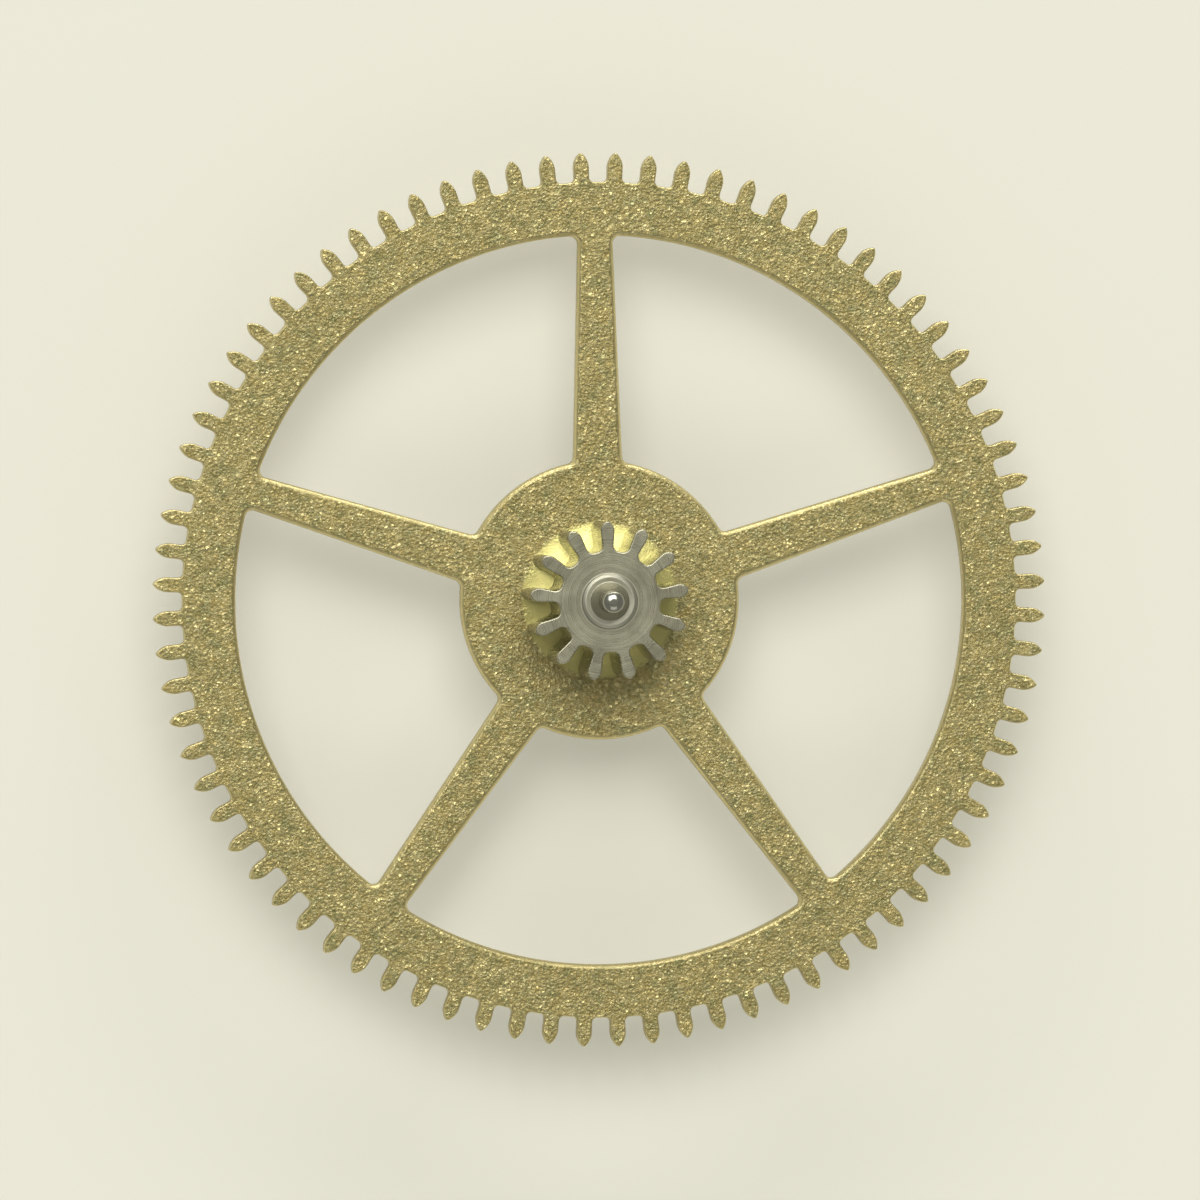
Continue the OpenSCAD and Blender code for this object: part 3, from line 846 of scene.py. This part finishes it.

# %% [markdown]
# Putting the pieces on the frame. Each new surface stands for its node of the imported model, which is
# hidden, wears the finish made for it above and rides on the one body that there is: wheel and pinion
# are riveted together and turn as one.

# %% Dress the frame
wheel.data.materials.append(gilt)
pinion.data.materials.append(steel)
for piece, node, slot in ((wheel, "wheel", "gilt_brass"), (pinion, "pinion", "hardened_steel")):
    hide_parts(node)
    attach(piece, "root")
    print(piece.name, "stands for", node, "and wears", piece.data.materials[0].name)

# %% [markdown]
# The floor. A small part is photographed like a small still life, on a pale matte sheet. The wheel
# stands less than a millimetre above it, so the shadows in its windows come out deep. More light would
# lift them, but it would also bleach the metal. So a third of what the camera, or a reflection, sees of
# the floor is its own pale colour without any shadow. The floor shows on its upper side only, so that
# the wheel can be looked at from below too.

# %% The floor
floor_mesh = bpy.data.meshes.new("pale_floor")
floor_mesh.from_pydata([(-1, -1, 0), (1, -1, 0), (1, 1, 0), (-1, 1, 0)], [], [(0, 1, 2, 3)])
floor = bpy.data.objects.new("pale_floor", floor_mesh)
bpy.context.collection.objects.link(floor)
matte, t = new_material("matte_pale_lacquer")
shader = add(t, "ShaderNodeBsdfPrincipled", None,
             {"Base Color": linear("#EEECDF"), "Roughness": 0.9, "Specular IOR Level": 0.2})
glow = add(t, "ShaderNodeEmission", None, {"Color": linear("#EBE9D6")})
path = add(t, "ShaderNodeLightPath").outputs
mirrored_or_seen = add(t, "ShaderNodeMath", {0: path["Is Camera Ray"], 1: path["Is Glossy Ray"]},
                       operation="MAXIMUM").outputs[0]
seen = add(t, "ShaderNodeMath", {0: mirrored_or_seen, 1: path["Is Transmission Ray"]},
           operation="MAXIMUM").outputs[0]
shadow_lift = 0.33
lift = add(t, "ShaderNodeMath", {0: seen}, {1: shadow_lift}, operation="MULTIPLY").outputs[0]
bright_floor = add(t, "ShaderNodeMixShader",
                   {0: lift, 1: shader.outputs["BSDF"], 2: glow.outputs["Emission"]})
clear = add(t, "ShaderNodeBsdfTransparent")
below = add(t, "ShaderNodeNewGeometry").outputs["Backfacing"]
one_sided = add(t, "ShaderNodeMixShader",
                {0: below, 1: bright_floor.outputs["Shader"], 2: clear.outputs["BSDF"]})
add(t, "ShaderNodeOutputMaterial", {"Surface": one_sided.outputs["Shader"]})
floor_mesh.materials.append(matte)
print("floor", tuple(round(v, 2) for v in floor.dimensions), "m, shadows lifted by", shadow_lift)

# %% [markdown]
# The light. A large soft lamp stands above and behind, a low strip of light on the same side finds the
# rolled edges, and a weak fill comes from the front. An environment picture could light the wheel too,
# but three lamps can be moved one by one. Together with the room they light the floor at nearly the
# level 1, so that its colour comes out almost as it is written. The room's walls are as pale as the
# floor near the ground, where a low camera sees past it, and grey above, which is what a flat metal
# face shows to a camera that looks straight down.

# %% The lights and the room
def soft_light(name, place, size, watts, colour):
    """A rectangular lamp that looks at the wheel. Returns its share of the light on the floor.

    The share is watts times the cosine at the floor over pi squared times the distance squared.
    """
    lamp = bpy.data.lights.new(name, "AREA")
    lamp.shape, lamp.size, lamp.size_y = "RECTANGLE", size[0], size[1]
    lamp.energy, lamp.color = watts, linear(colour)[:3]
    holder = bpy.data.objects.new(name, lamp)
    holder.location = place
    aim = Vector((0, 0, wheel_top * MM)) - Vector(place)
    holder.rotation_euler = aim.to_track_quat("-Z", "Y").to_euler()
    bpy.context.collection.objects.link(holder)
    distance = Vector(place).length
    return watts * place[2] / distance / (np.pi * distance) ** 2


share = soft_light("overhead_soft_light", (-0.03, 0.155, 0.34), (0.26, 0.20), 0.80, "#FFFEFB")
share += soft_light("low_strip_light", (0.0, 0.30, 0.11), (0.34, 0.04), 0.44, "#FFFDF8")
share += soft_light("front_fill_light", (0.02, -0.25, 0.32), (0.24, 0.18), 0.10, "#FFFEFA")
print("the lamps give the floor", round(float(share), 2), "of the light that makes white")

world = bpy.data.worlds.new("pale_walls_and_grey_ceiling")
world.use_nodes = True
bpy.context.scene.world = world
t = world.node_tree
direction = add(t, "ShaderNodeTexCoord").outputs["Generated"]
slant = add(t, "ShaderNodeSeparateXYZ", {"Vector": direction}).outputs["Z"]
walls = add(t, "ShaderNodeMapRange", {"Value": slant},
            {"From Min": 0.12, "From Max": 0.40, "To Min": 1.0, "To Max": 0.0})
room = add(t, "ShaderNodeMix", {"Factor": walls.outputs["Result"]},
           {"A": linear("#959591"), "B": linear("#E9E7DA")}, data_type="RGBA")
t.links.new(room.outputs["Result"], t.nodes["Background"].inputs["Color"])

# %% [markdown]
# The camera looks down at the face of the wheel from just left of the arbor and a hair behind it, and
# is rolled by less than a degree, as in the photograph. The upward spoke points up. A camera could be
# aimed with a Track To constraint, but that leaves its roll to chance when it looks almost straight
# down, so its three axes are worked out one by one. It stands well back with a long lens, so the leaves
# of the pinion hide little of the hub behind them.

# %% Camera
leaning_left, leaning_back, roll, view_angle = np.radians([4.4, 0.7, 0.7, 4.15])
camera_distance = 0.15
camera_data = bpy.data.cameras.new("camera")
camera_data.lens_unit = "FOV"
camera_data.angle = view_angle
camera_data.clip_start = 0.001
camera = bpy.data.objects.new("camera", camera_data)
away = Vector((-np.tan(leaning_left), np.tan(leaning_back), 1.0)).normalized()
target = Vector((0.0, 0.0, wheel_top * MM))
camera.location = target + camera_distance * away
across = Vector((np.sin(roll), np.cos(roll), 0.0)).cross(away).normalized()
camera.rotation_euler = Matrix((across, away.cross(across), away)).transposed().to_euler()
bpy.context.collection.objects.link(camera)
bpy.context.scene.camera = camera
bpy.context.scene.view_settings.view_transform = "Standard"
print("camera", round(1000 * camera.location.length, 1), "mm away")
